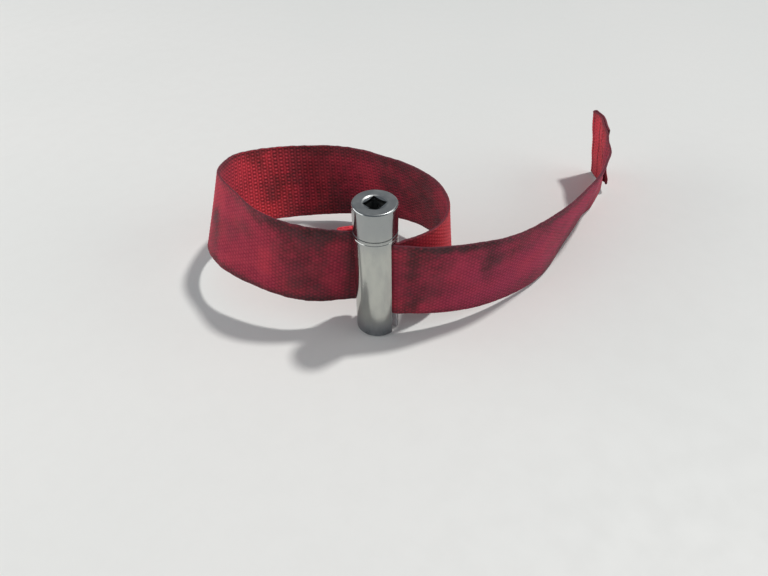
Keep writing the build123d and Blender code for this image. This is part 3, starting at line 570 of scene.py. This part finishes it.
def webbing_material():
    q = Nodes("webbing")
    s, w, d = q.split(q.attr("strap").outputs["Vector"])
    dirt_and_shade = q.attr("dirt_and_shade").outputs["Fac"]
    # noise space in millimetres, each face with its own part of it
    face = q.math("MULTIPLY", q.math("GREATER_THAN", d, 0.0), 300.0)
    pos = q.join(s, w, face)
    # slightly uneven yarns
    jig = q.noise(pos, 0.16, 2.0)
    s2 = q.math("ADD", s, q.math("MULTIPLY", q.math("SUBTRACT", jig, 0.5), 0.5))
    w2 = w
    outer = q.math("GREATER_THAN", d, 0.0)
    phase = q.math("MULTIPLY", q.math("SUBTRACT", 1.0, outer), 1.3)
    cw = q.math("COSINE", q.math("MULTIPLY", w2, 2 * math.pi / CELL_W))
    cs = q.math("COSINE", q.math("ADD", q.math("MULTIPLY", s2, 2 * math.pi / CELL_S), phase))
    c2 = q.math("COSINE", q.math("MULTIPLY", q.math("ADD", q.math("MULTIPLY", s2, 2 * math.pi / CELL_S), phase), 2.0))
    a = q.math("SUBTRACT", 0.26, q.math("MULTIPLY", outer, 0.21))
    h = q.math("ADD", q.math("MULTIPLY", cw, q.math("ADD", a, q.math("MULTIPLY", cs, 0.50))), q.math("MULTIPLY", c2, 0.22))
    crown = q.ramp(h, -0.62, 0.72, kind="LINEAR")
    # colour: faded red with darker and pinker zones
    zone = q.noise(pos, 0.035, 3.0, 0.55)
    fine = q.noise(pos, 0.55, 3.0, 0.6)
    col = q.mix(q.ramp(zone, 0.36, 0.64), lin(RED_A), lin(RED_B))
    col = q.mix(q.ramp(fine, 0.40, 0.66, 0.0, 0.35), col, lin(RED_C))
    tail = q.math("MULTIPLY", q.math("MULTIPLY", q.ramp(s, 470.0, 530.0), q.ramp(s, 690.0, 650.0)), q.math("MULTIPLY", outer, 0.65))
    col = q.mix(tail, col, lin(RED_TAIL))
    # painted light: the cloth is mixed towards a brighter, redder colour where light falls full or at a grazing angle
    red = q.attr("painted_lit_red").outputs["Fac"]
    col = q.mix(q.math("MULTIPLY", red, 0.9), col, lin(RED_PAINTED_LIT))
    # gaps between the floats are darker, partly grime and partly painted shade in the recesses, less so where light is
    # painted on; crowns a little worn
    col = q.mix(q.math("MULTIPLY", q.ramp(crown, 0.05, 0.62, 0.64, 0.0), q.math("MULTIPLY", q.math("SUBTRACT", 1.0, q.math("MULTIPLY", q.math("MAXIMUM", q.math("MULTIPLY", outer, q.math("MAXIMUM", red, 0.55)), q.math("MULTIPLY", red, q.ramp(s, 380.0, 420.0, 0.35, 1.0))), 0.55)), q.ramp(q.noise(pos, 0.07, 2.0, 0.6), 0.30, 0.62, 0.55, 1.05))), col, lin(RED_GAP_SHADE_AND_GRIME))
    col = q.mix(q.ramp(crown, 0.70, 1.0, 0.0, 0.10), col, lin(RED_WORN))
    # painted highlight: the weave's crowns turn bright red on the inner face where light is painted on
    bright = q.math("MULTIPLY", q.math("MULTIPLY", red, q.math("SUBTRACT", 1.0, outer)), q.ramp(s, 380.0, 420.0, 1.0, 0.0))
    col = q.mix(q.math("MULTIPLY", bright, q.ramp(crown, 0.52, 0.95, 0.0, 0.75)), col, lin(RED_CROWN_HIGHLIGHT))
    # oily grime and the painted shadow at the slot mouth: the grime fills the gaps first
    speck = q.noise(pos, 1.3, 2.0, 0.6)
    g = q.math("ADD", dirt_and_shade, q.math("MULTIPLY", q.math("SUBTRACT", speck, 0.5), 0.35))
    g = q.math("ADD", g, q.math("MULTIPLY", q.math("SUBTRACT", 0.5, crown), 0.22))
    g = q.ramp(g, 0.08, 0.95, 0.0, 0.93, "LINEAR")
    grime_and_shade_colour = q.mix(q.ramp(q.noise(pos, 0.09, 2.0), 0.4, 0.6), lin(GRIME_SHADE_A), lin(GRIME_SHADE_B))
    col = q.mix(g, col, grime_and_shade_colour)
    # selvage: a slightly paler, tighter edge
    sel = q.math("SUBTRACT", 1.0, q.math("ABSOLUTE", d))
    col = q.mix(q.math("MULTIPLY", q.ramp(sel, 0.02, 0.4, 0.0, 0.75), q.ramp(s, 13.0, 18.0)), col, lin(RED_SELVAGE))
    q.put(q.p.inputs["Base Color"], col)
    q.put(q.p.inputs["Roughness"], q.ramp(q.math("ADD", g, q.math("MULTIPLY", fine, 0.3)), 0.0, 1.2, 0.92, 0.66, "LINEAR"))
    q.p.inputs["Sheen Weight"].default_value = 0.17
    q.p.inputs["Sheen Roughness"].default_value = 0.45
    q.p.inputs["Sheen Tint"].default_value = (1.0, 0.50, 0.58, 1.0)
    q.p.inputs["Specular IOR Level"].default_value = 0.16
    # yarn plies and loose fibres
    ply = q.math("SINE", q.math("ADD", q.math("MULTIPLY", w2, 2 * math.pi / 0.415), q.math("MULTIPLY", s2, 1.9)))
    fib = q.noise(q.vmath("MULTIPLY", pos, (2.0, 7.0, 1.0)), 1.0, 3.0, 0.6)
    hh = q.math("ADD", q.math("MULTIPLY", h, 0.10), q.math("ADD", q.math("MULTIPLY", ply, 0.020), q.math("MULTIPLY", fib, 0.05)))
    q.put(q.p.inputs["Normal"], q.bump(hh, 0.9, 0.001))
    return q.m


def thread_material():
    q = Nodes("thread")
    at = q.attr("ply")
    x, y, z = q.split(at.outputs["Vector"])
    twist = q.math("SINE", q.math("ADD", q.math("MULTIPLY", x, 7.5), q.math("MULTIPLY", y, 2.0)))
    n = q.noise(at.outputs["Vector"], 0.8, 2.0)
    col = q.mix(q.ramp(n, 0.35, 0.65), rgb(THREAD_A), rgb(THREAD_B))
    col = q.mix(q.ramp(twist, -1.0, 0.2, 0.5, 0.0), col, rgb("3a1820"))
    q.put(q.p.inputs["Base Color"], col)
    q.put(q.p.inputs["Roughness"], q.ramp(n, 0.3, 0.7, 0.55, 0.75))
    q.p.inputs["Sheen Weight"].default_value = 0.25
    q.p.inputs["Sheen Roughness"].default_value = 0.4
    q.put(q.p.inputs["Normal"], q.bump(twist, 0.6, 0.00008))
    return q.m


def chrome_material():
    """Chrome plate on a turned bar: bright sides with faint draw marks, handling smears and fine scratches, a duller
    turned top face, a darker, cooler head that is partly painted reflection, grimy grooves, darker drive walls, and a
    darker, bluer bottom band that is painted reflection of the shadow on the table, with some tarnish.
    """
    q = Nodes("chrome_plate")
    tc = q.node("ShaderNodeTexCoord").outputs["Object"]
    mm = q.vmath("MULTIPLY", tc, (1000.0, 1000.0, 1000.0))
    x, y, z = q.split(mm)
    r = q.math("SQRT", q.math("ADD", q.math("MULTIPLY", x, x), q.math("MULTIPLY", y, y)))
    up = q.split(q.node("ShaderNodeNewGeometry").outputs["Normal"])[2]
    top = q.math("MULTIPLY", q.ramp(z, 89.0, 89.3), q.ramp(up, 0.8, 0.95))
    smear = q.noise(q.vmath("MULTIPLY", mm, (1.0, 1.0, 0.28)), 0.16, 4.0, 0.6)
    patch = q.noise(mm, 0.45, 3.0, 0.6)
    hair = q.noise(q.vmath("MULTIPLY", mm, (1.0, 1.0, 14.0)), 1.0, 2.0, 0.7)
    lap = q.noise(q.vmath("MULTIPLY", mm, (6.0, 6.0, 0.25)), 1.0, 2.0, 0.7)
    col = q.mix(q.ramp(smear, 0.35, 0.7), lin(CHROME_A), lin(CHROME_B))
    # painted reflection: the head is mixed towards a darker, cooler colour where it mirrors the darker room, partly
    # duller plate
    col = q.mix(q.ramp(q.math("ADD", z, q.math("MULTIPLY", smear, 9.0)), 60.0, 84.0, 0.0, 0.85), col, lin(CHROME_HEAD_DULL_AND_REFLECTION))
    # grime in the grooves and under the head; darker drive walls; at the foot, painted reflection of the shadow on the
    # table, with some grime
    groove = q.math("SUBTRACT", 1.0, q.ramp(q.math("ABSOLUTE", q.math("SUBTRACT", z, 71.6)), 0.22, 0.5))
    line2 = q.math("SUBTRACT", 1.0, q.ramp(q.math("ABSOLUTE", q.math("SUBTRACT", z, 69.2)), 0.10, 0.3))
    hole = q.math("MULTIPLY", q.math("SUBTRACT", 1.0, q.ramp(r, 6.7, 7.0)), q.math("MULTIPLY", q.ramp(z, 70.0, 74.0), q.math("SUBTRACT", 1.0, q.ramp(z, 86.2, 87.6))))
    # painted reflection: the darkening at the bottom stands in for the mirrored shadow on the table, with some grime
    foot_grime_and_shade = q.math("MULTIPLY", q.math("SUBTRACT", 1.0, q.ramp(z, 0.5, 11.0)), q.ramp(smear, 0.30, 0.62, 0.45, 0.9))
    slot = q.math("MULTIPLY", q.math("SUBTRACT", 1.0, q.ramp(q.math("ABSOLUTE", y), 2.7, 3.1)), q.math("SUBTRACT", 1.0, q.ramp(z, 67.5, 68.2)))
    slot = q.math("MULTIPLY", slot, q.ramp(patch, 0.40, 0.70, 0.0, 0.12))
    milled = q.math("MULTIPLY", q.math("SUBTRACT", 1.0, q.ramp(q.math("ABSOLUTE", y), 2.7, 3.1)), q.math("SUBTRACT", 1.0, q.ramp(z, 67.5, 68.2)))
    dark = q.math("MAXIMUM", q.math("MAXIMUM", q.math("MULTIPLY", groove, 0.25), q.math("MULTIPLY", line2, 0.04)), q.math("MAXIMUM", q.math("MULTIPLY", hole, 0.40), q.math("MULTIPLY", foot_grime_and_shade, 0.5)))
    dark = q.math("MAXIMUM", q.math("MULTIPLY", dark, q.math("SUBTRACT", 1.0, q.math("MULTIPLY", milled, 0.85))), slot)
    dark = q.math("MAXIMUM", dark, q.ramp(patch, 0.66, 0.80, 0.0, 0.30))
    # painted reflection: a bluer, darker bottom band for the shadow it mirrors, with some tarnish
    col = q.mix(q.math("MULTIPLY", q.math("SUBTRACT", 1.0, q.ramp(z, 1.0, 17.0)), 0.8), col, lin(CHROME_FOOT_TARNISH_AND_SHADE))
    col = q.mix(q.math("MULTIPLY", milled, 0.92), col, lin(CHROME_MILLED))
    col = q.mix(top, col, lin(CHROME_TOP))
    col = q.mix(dark, col, rgb("15130f"))
    q.put(q.p.inputs["Base Color"], col)
    q.put(q.p.inputs["Metallic"], q.math("SUBTRACT", 1.0, q.math("MULTIPLY", milled, 0.55)))
    rough = q.ramp(smear, 0.35, 0.75, ROUGH_LO, ROUGH_HI)
    rough = q.math("ADD", rough, q.math("MULTIPLY", q.ramp(patch, 0.5, 0.75), 0.10))
    rough = q.math("ADD", rough, q.math("MULTIPLY", top, 0.24))
    rough = q.math("ADD", rough, q.math("MULTIPLY", dark, 0.30))
    rough = q.math("ADD", rough, q.math("MULTIPLY", milled, 0.42))
    rough = q.math("ADD", rough, q.math("MULTIPLY", hole, 0.25), clamp=True)
    q.put(q.p.inputs["Roughness"], rough)
    # fine marks: rings from turning, lengthwise polishing lines, a few scratches
    ring = q.math("SINE", q.math("MULTIPLY", r, 2 * math.pi / 0.32))
    turned = q.math("MULTIPLY", top, q.math("ADD", ring, q.math("MULTIPLY", patch, 2.0)))
    hh = q.math("ADD", q.math("MULTIPLY", hair, 0.25), q.math("MULTIPLY", lap, 0.6))
    scr = q.noise(q.vmath("MULTIPLY", mm, (0.9, 0.9, 5.0)), 0.9, 0.0)
    scr = q.math("SUBTRACT", 1.0, q.ramp(q.math("ABSOLUTE", q.math("SUBTRACT", scr, 0.5)), 0.0, 0.012))
    hh = q.math("SUBTRACT", q.math("ADD", hh, q.math("MULTIPLY", turned, 0.5)), q.math("MULTIPLY", scr, 0.5))
    wavy = q.noise(mm, 0.12, 1.0)
    n1 = q.bump(wavy, 0.5, 0.00010)
    q.put(q.p.inputs["Normal"], q.bump(hh, 0.5, 0.0000045, n1))
    return q.m


def floor_material():
    q = Nodes("table_top")
    tc = q.node("ShaderNodeTexCoord").outputs["Object"]
    n = q.noise(tc, 3.0, 3.0, 0.5)
    f = q.noise(tc, 60.0, 4.0, 0.6)
    col = q.mix(q.ramp(n, 0.3, 0.7), rgb(FLOOR_A), rgb(FLOOR_B))
    col = q.mix(q.ramp(f, 0.35, 0.7, 0.0, 0.25), col, rgb(FLOOR_C))
    q.put(q.p.inputs["Base Color"], col)
    q.put(q.p.inputs["Roughness"], q.ramp(f, 0.3, 0.7, 0.50, 0.62))
    q.p.inputs["Specular IOR Level"].default_value = 0.30
    q.put(q.p.inputs["Normal"], q.bump(f, 0.15, 0.0002))
    return q.m


RED_A, RED_B, RED_C = (0.475, 0.040, 0.071), (0.345, 0.027, 0.058), (0.53, 0.055, 0.085)
RED_PAINTED_LIT, RED_TAIL = (0.76, 0.052, 0.066), (0.50, 0.048, 0.120)
RED_CROWN_HIGHLIGHT = (0.95, 0.105, 0.135)
RED_GAP_SHADE_AND_GRIME, RED_WORN, RED_SELVAGE = (0.045, 0.010, 0.018), (0.60, 0.100, 0.140), (0.085, 0.024, 0.034)
GRIME_SHADE_A, GRIME_SHADE_B = (0.052, 0.030, 0.032), (0.028, 0.020, 0.019)
THREAD_A, THREAD_B = "a02c3c", "8c2434"
CHROME_A, CHROME_B, CHROME_TOP = (0.505, 0.515, 0.475), (0.43, 0.44, 0.415), (0.365, 0.375, 0.368)
CHROME_HEAD_DULL_AND_REFLECTION, CHROME_FOOT_TARNISH_AND_SHADE = (0.33, 0.345, 0.35), (0.32, 0.345, 0.385)
CHROME_MILLED = (0.76, 0.735, 0.745)
ROUGH_LO, ROUGH_HI = 0.09, 0.18
FLOOR_A, FLOOR_B, FLOOR_C = "e3e3df", "e6e5e1", "e0dfdb"
MAT_WEB = webbing_material()
MAT_THREAD = thread_material()
MAT_CHROME = chrome_material()
floor.data.materials.append(floor_material())


# ---------------------------------------------------------------------------
# the strap's pieces
# ---------------------------------------------------------------------------
S = {k: float(S_ALL[i]) for k, i in dict(rear0=I_REAR0, rear1=I_REAR1, front0=I_FRONT0, front1=I_FRONT1, root=I_ROOT_END, near=I_NEAR_END, far=I_FAR_END, hem=I_HEM, end=I_END).items()}
CUT = [float(S_ALL[i]) for i in LOOP_CUTS]


def centre(s):
    p, t, g, n = line([s])
    return Vector(p[0] * MM)


# two layers in the slot are pressed flat
def pressed(s):
    a = smooth((s - (S["rear0"] - 3)) / 4) * smooth((S["rear1"] + 3 - s) / 4)
    b = smooth((s - (S["front0"] - 3)) / 4) * smooth((S["front1"] + 3 - s) / 4)
    return 1 - 0.35 * np.maximum(a, b)


# anchor: back layer, turn at the tip, then the main layer to the slot and through it
LAYER = STRAP_T + 0.05
TURN = LAYER / 2
ANCHOR_SEAMS = (2.9, 8.3)
BACK_END = 10.9


def anchor_frames():
    n1 = steps(TURN, BACK_END)
    sb = np.linspace(BACK_END, TURN, n1 + 1)
    p, t, g, n = line(sb)
    frames = [(p - LAYER * n, g, -n, -(sb - TURN) - np.pi * TURN)]
    th = np.linspace(0, np.pi, 10)[1:-1]
    p, t, g, n = line(np.full(len(th), TURN))
    c, s_ = np.cos(th)[:, None], np.sin(th)[:, None]
    frames.append((p - TURN * n - TURN * (n * c + t * s_), g, -t * s_ - n * c, (th - np.pi) * TURN))
    n2 = steps(TURN, S["rear1"])
    d = (S["rear1"] - TURN) / n2
    sm = np.concatenate([np.linspace(TURN, S["rear1"], n2 + 1), [S["rear1"] + d]])
    p, t, g, n = line(sm)
    frames.append((p, g, n, sm))
    return [np.concatenate(x) for x in zip(*frames)]


p, g, n, sc = anchor_frames()
dents = [(x, 23.0, 0.30) for x in ANCHOR_SEAMS] + [(-(x - TURN) - np.pi * TURN, 23.0, 0.30) for x in ANCHOR_SEAMS]
X, info, dirt_and_shade = surface(p, g, n, sc, pressed(sc), None, dents)
anchor = build("webbing_anchor", X, info, dirt_and_shade, False, True, [MAT_WEB])

front_run = span("webbing_front_run", S["front0"], S["front1"], pressed)
loop_start = span("webbing_loop_start", S["rear1"], CUT[0], pressed)
loop_a = span("webbing_loop_right", CUT[0], CUT[2])
loop_b = span("webbing_loop_back", CUT[2], CUT[4])
loop_c = span("webbing_loop_left", CUT[4], CUT[6])
loop_end = span("webbing_loop_end", CUT[6], S["front0"], pressed)
tail_root = span("webbing_tail_root", S["front1"], S["root"], pressed)
tail_near = span("webbing_tail_near", S["root"], S["near"])
tail = span("webbing_tail", S["near"], S["hem"])

# hem: main layer on to the terminal end, turned over to the outer side and sewn
HEM_BACK = 702.2
HEM_SEAMS = (719.0, 729.6)
HEM_ZIG = 706.8


def hem_frames():
    top = S["end"] - TURN
    n1 = steps(S["hem"], top)
    d = (top - S["hem"]) / n1
    sm = np.concatenate([[S["hem"] - d], np.linspace(S["hem"], top, n1 + 1)])
    p, t, g, n = line(sm)
    off = [bulge_n(sm, n)]
    frames = [(p, g, n, sm)]
    th = np.linspace(0, np.pi, 10)[1:-1]
    p, t, g, n = line(np.full(len(th), top))
    c, s_ = np.cos(th)[:, None], np.sin(th)[:, None]
    frames.append((p + TURN * n + TURN * (t * s_ - n * c), g, n * c - t * s_, top + th * TURN))
    off.append(bulge_n(np.full(len(th), top), n))
    n2 = steps(HEM_BACK, top)
    sb = np.linspace(top, HEM_BACK, n2 + 1)
    p, t, g, n = line(sb)
    frames.append((p + LAYER * n, g, -n, top + np.pi * TURN + (top - sb)))
    off.append(bulge_n(sb, n))
    return [np.concatenate(x) for x in zip(*frames)], np.concatenate([o[0] for o in off]), np.concatenate([o[1] for o in off])


def bulge_n(s, n):
    return np.asarray(s, float), n


(p, g, n, sc), base_s, base_n = hem_frames()
base_g = g
top_s = S["end"] - TURN
fold_s = lambda x: top_s + np.pi * TURN + (top_s - x)


def hem_offset(S_, W_):
    """The same waves as the cloth below, and the loose lower corner of the turned-over end."""
    bs = np.broadcast_to(base_s[:, None], S_.shape)
    back = S_ > top_s + np.pi * TURN - 0.01
    corner = smooth((-6 - W_) / 18) * smooth((713 - bs) / 11) * back
    lift = smooth((-12 - W_) / 13) * smooth((716 - bs) / 14) * back
    return (bulge(bs, W_) + 2.1 * corner)[..., None] * base_n[:, None] + (3.6 * lift)[..., None] * base_g[:, None]


dents = [(x, 23.0, 0.28) for x in HEM_SEAMS] + [(fold_s(x), 23.0, 0.28) for x in HEM_SEAMS]
X, info, dirt_and_shade = surface(p, g, n, sc, np.ones(len(sc)), hem_offset, dents)
hem = build("webbing_hem", X, info, dirt_and_shade, True, False, [MAT_WEB])


# ---------------------------------------------------------------------------
# sewing thread: each stitch is a short round strand that dips into the cloth at both ends
# ---------------------------------------------------------------------------
def strands(name, runs, radius=0.30):
    verts, faces, ply = [], [], []
    K, M = 9, 8
    for a, b, nrm, other in runs:
        a, b, nrm = (np.asarray(v, float) for v in (a, b, nrm))
        d = b - a
        L = np.linalg.norm(d)
        t = d / L
        side = np.cross(t, nrm)
        side /= np.linalg.norm(side)
        base = len(verts)
        for k in range(K):
            u = -1 + 2 * k / (K - 1)
            c = a + d * (u + 1) / 2 + nrm * (0.34 * (1 - u**4) - 0.30)
            r = radius * (1 - 0.25 * u**4)
            for j in range(M):
                an = 2 * math.pi * j / M
                verts.append((c + r * (math.cos(an) * nrm + math.sin(an) * side)) * MM)
                ply.append(((u + 1) * L / 2, an, len(verts) % 7))
        for k in range(K - 1):
            for j in range(M):
                faces.append((base + k * M + j, base + k * M + (j + 1) % M, base + (k + 1) * M + (j + 1) % M, base + (k + 1) * M + j))
        faces.append(tuple(base + j for j in range(M))[::-1])
        faces.append(tuple(base + (K - 1) * M + j for j in range(M)))
    me = bpy.data.meshes.new(name)
    me.from_pydata([tuple(v) for v in verts], [], faces)
    me.validate()
    at = me.attributes.new("ply", "FLOAT_VECTOR", "POINT")
    at.data.foreach_set("vector", np.array(ply, np.float32).ravel())
    me.polygons.foreach_set("use_smooth", np.ones(len(me.polygons), bool))
    me.materials.append(MAT_THREAD)
    me.update()
    ob = bpy.data.objects.new(name, me)
    scene.collection.objects.link(ob)
    import bmesh
    bm = bmesh.new()
    bm.from_mesh(me)
    bmesh.ops.recalc_face_normals(bm, faces=bm.faces)
    bm.to_mesh(me)
    bm.free()
    return ob


def on_face(s, w, h, extra=0.0):
    """A point on the cloth at height h from its middle, and the outward normal there."""
    p, t, g, n = line([s])
    return p[0] + w * g[0] + (h + extra) * n[0], n[0]


def seam(pts, h, sign, wave):
    """Stitches through a list of (s, w) points, on the face at height h."""
    out = []
    for (s0, w0), (s1, w1) in zip(pts[:-1], pts[1:]):
        m = np.hypot(s1 - s0, w1 - w0)
        k = 0.10 * m
        u = (np.array([s1 - s0, w1 - w0])) / m
        e0 = float(wave(s0, w0)) if wave else 0.0
        e1 = float(wave(s1, w1)) if wave else 0.0
        a, na = on_face(s0 + u[0] * k / 2, w0 + u[1] * k / 2, h, e0)
        b, nb = on_face(s1 - u[0] * k / 2, w1 - u[1] * k / 2, h, e1)
        nn = sign * (na + nb)
        out.append((a, b, nn / np.linalg.norm(nn), 0))
    return out


def straight(s, w0, w1, step):
    k = max(2, int(round(abs(w1 - w0) / step)))
    return [(s, w0 + (w1 - w0) * i / k) for i in range(k + 1)]


def zigzag(s, w0, w1, step, amp):
    k = max(2, int(round(abs(w1 - w0) / step)))
    return [(s + (amp if i % 2 else -amp), w0 + (w1 - w0) * i / k) for i in range(k + 1)]


FACE_H = STRAP_T / 2 - 0.22
runs = []
for x in ANCHOR_SEAMS:
    runs += seam(straight(x, -22.0, 22.0, 3.0), FACE_H, 1, None)
    runs += seam(straight(x, -22.0, 22.0, 3.0), -LAYER - FACE_H, -1, None)
anchor_thread = strands("anchor_thread", runs)

runs = []
wave = lambda s, w: bulge(np.array([s]), np.array([w]))[0]
for x in HEM_SEAMS:
    runs += seam(straight(x, -22.5, 22.5, 2.8), -FACE_H, -1, wave)
    runs += seam(straight(x, -22.5, 22.5, 2.8), LAYER + FACE_H, 1, wave)
runs += seam(zigzag(HEM_ZIG, -9.0, 22.5, 2.1, 1.5), -FACE_H - 0.15, -1, wave)
runs += seam(zigzag(HEM_ZIG, -9.0, 22.5, 2.1, 1.5), LAYER + FACE_H + 0.15, 1, wave)
hem_thread = strands("hem_thread", runs)

# ---------------------------------------------------------------------------
# what rides on what
# ---------------------------------------------------------------------------
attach(anchor, "wrench_body")
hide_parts("strap_anchor_fold", "strap_rear_run")
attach(front_run, "wrench_body")
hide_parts("strap_front_run")
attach(anchor_thread, "wrench_body")
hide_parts("anchor_stitching")
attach(loop_a, "strap_loop")
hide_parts("strap_loop_right", "strap_loop_back_right")
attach(loop_b, "strap_loop")
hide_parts("strap_loop_back", "strap_loop_back_left")
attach(loop_c, "strap_loop")
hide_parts("strap_loop_left", "strap_loop_front")
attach(tail, "strap_tail")
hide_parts("strap_tail_mid", "strap_tail_far", "strap_tail_bend")
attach(hem, "strap_tail")
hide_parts("strap_hem")
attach(hem_thread, "strap_tail")
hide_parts("hem_stitching")


def across(ob, s0, s1, in0, in1):
    """Bakes ob's transform into its mesh; it does not bend, and the strap centres near its two ends are computed but
    not used.
    """
    centre(s0 + in0)
    centre(s1 - in1)
    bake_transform(ob)


# the loop's start keeps its swept shape: a point near its end is found but not used, and its transform is baked into
# the mesh
turned = centre(CUT[0] - 0.8)
turned - 24.0 * MM * Vector(line([CUT[0] - 0.8])[1][0])
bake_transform(loop_start)
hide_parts("strap_loop_start")
across(loop_end, CUT[6], S["front0"], 6.5, 3.0)
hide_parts("strap_loop_end")
across(tail_root, S["front1"], S["root"], 3.0, 4.5)
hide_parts("strap_tail_root")
across(tail_near, S["root"], S["near"], 12.0, 5.0)
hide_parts("strap_tail_near")

# the steel body keeps its CAD shape and takes the chrome material
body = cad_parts["socket_body"]
for slot in body.material_slots:
    slot.material = MAT_CHROME

# ---------------------------------------------------------------------------
# light
# ---------------------------------------------------------------------------
world = bpy.data.worlds.new("world")
scene.world = world
world.use_nodes = True
world.node_tree.nodes["Background"].inputs[0].default_value = (0.84, 0.91, 1.0, 1.0)
world.node_tree.nodes["Background"].inputs[1].default_value = 0.272


def lamp(name, kind, direction, distance, energy, colour=(1, 1, 1), size=1.0, size_y=None, at=(0.0, 0.05, 0.04)):
    data = bpy.data.lights.new(name, kind)
    data.energy, data.color = energy, colour
    d = Vector(direction).normalized()
    if kind == "SUN":
        data.angle = size
    else:
        data.shape = "RECTANGLE"
        data.size, data.size_y = size, size_y or size
    ob = bpy.data.objects.new(name, data)
    scene.collection.objects.link(ob)
    ob.location = Vector(at) + d * distance
    ob.rotation_mode = "QUATERNION"
    ob.rotation_quaternion = d.to_track_quat("Z", "Y")
    return ob


lamp("key", "SUN", (0.199, 0.491, 1.0), 2.0, 1.93, (1.0, 0.995, 0.985), 0.085)
lamp("left_panel", "AREA", (-0.72, -0.54, 0.25), 1.6, 13.5, (1.0, 0.99, 0.99), 1.9, 0.95)
lamp("right_panel", "AREA", (0.77, 0.37, 0.45), 1.6, 4.4, (1.0, 1.0, 1.0), 1.2, 0.9)
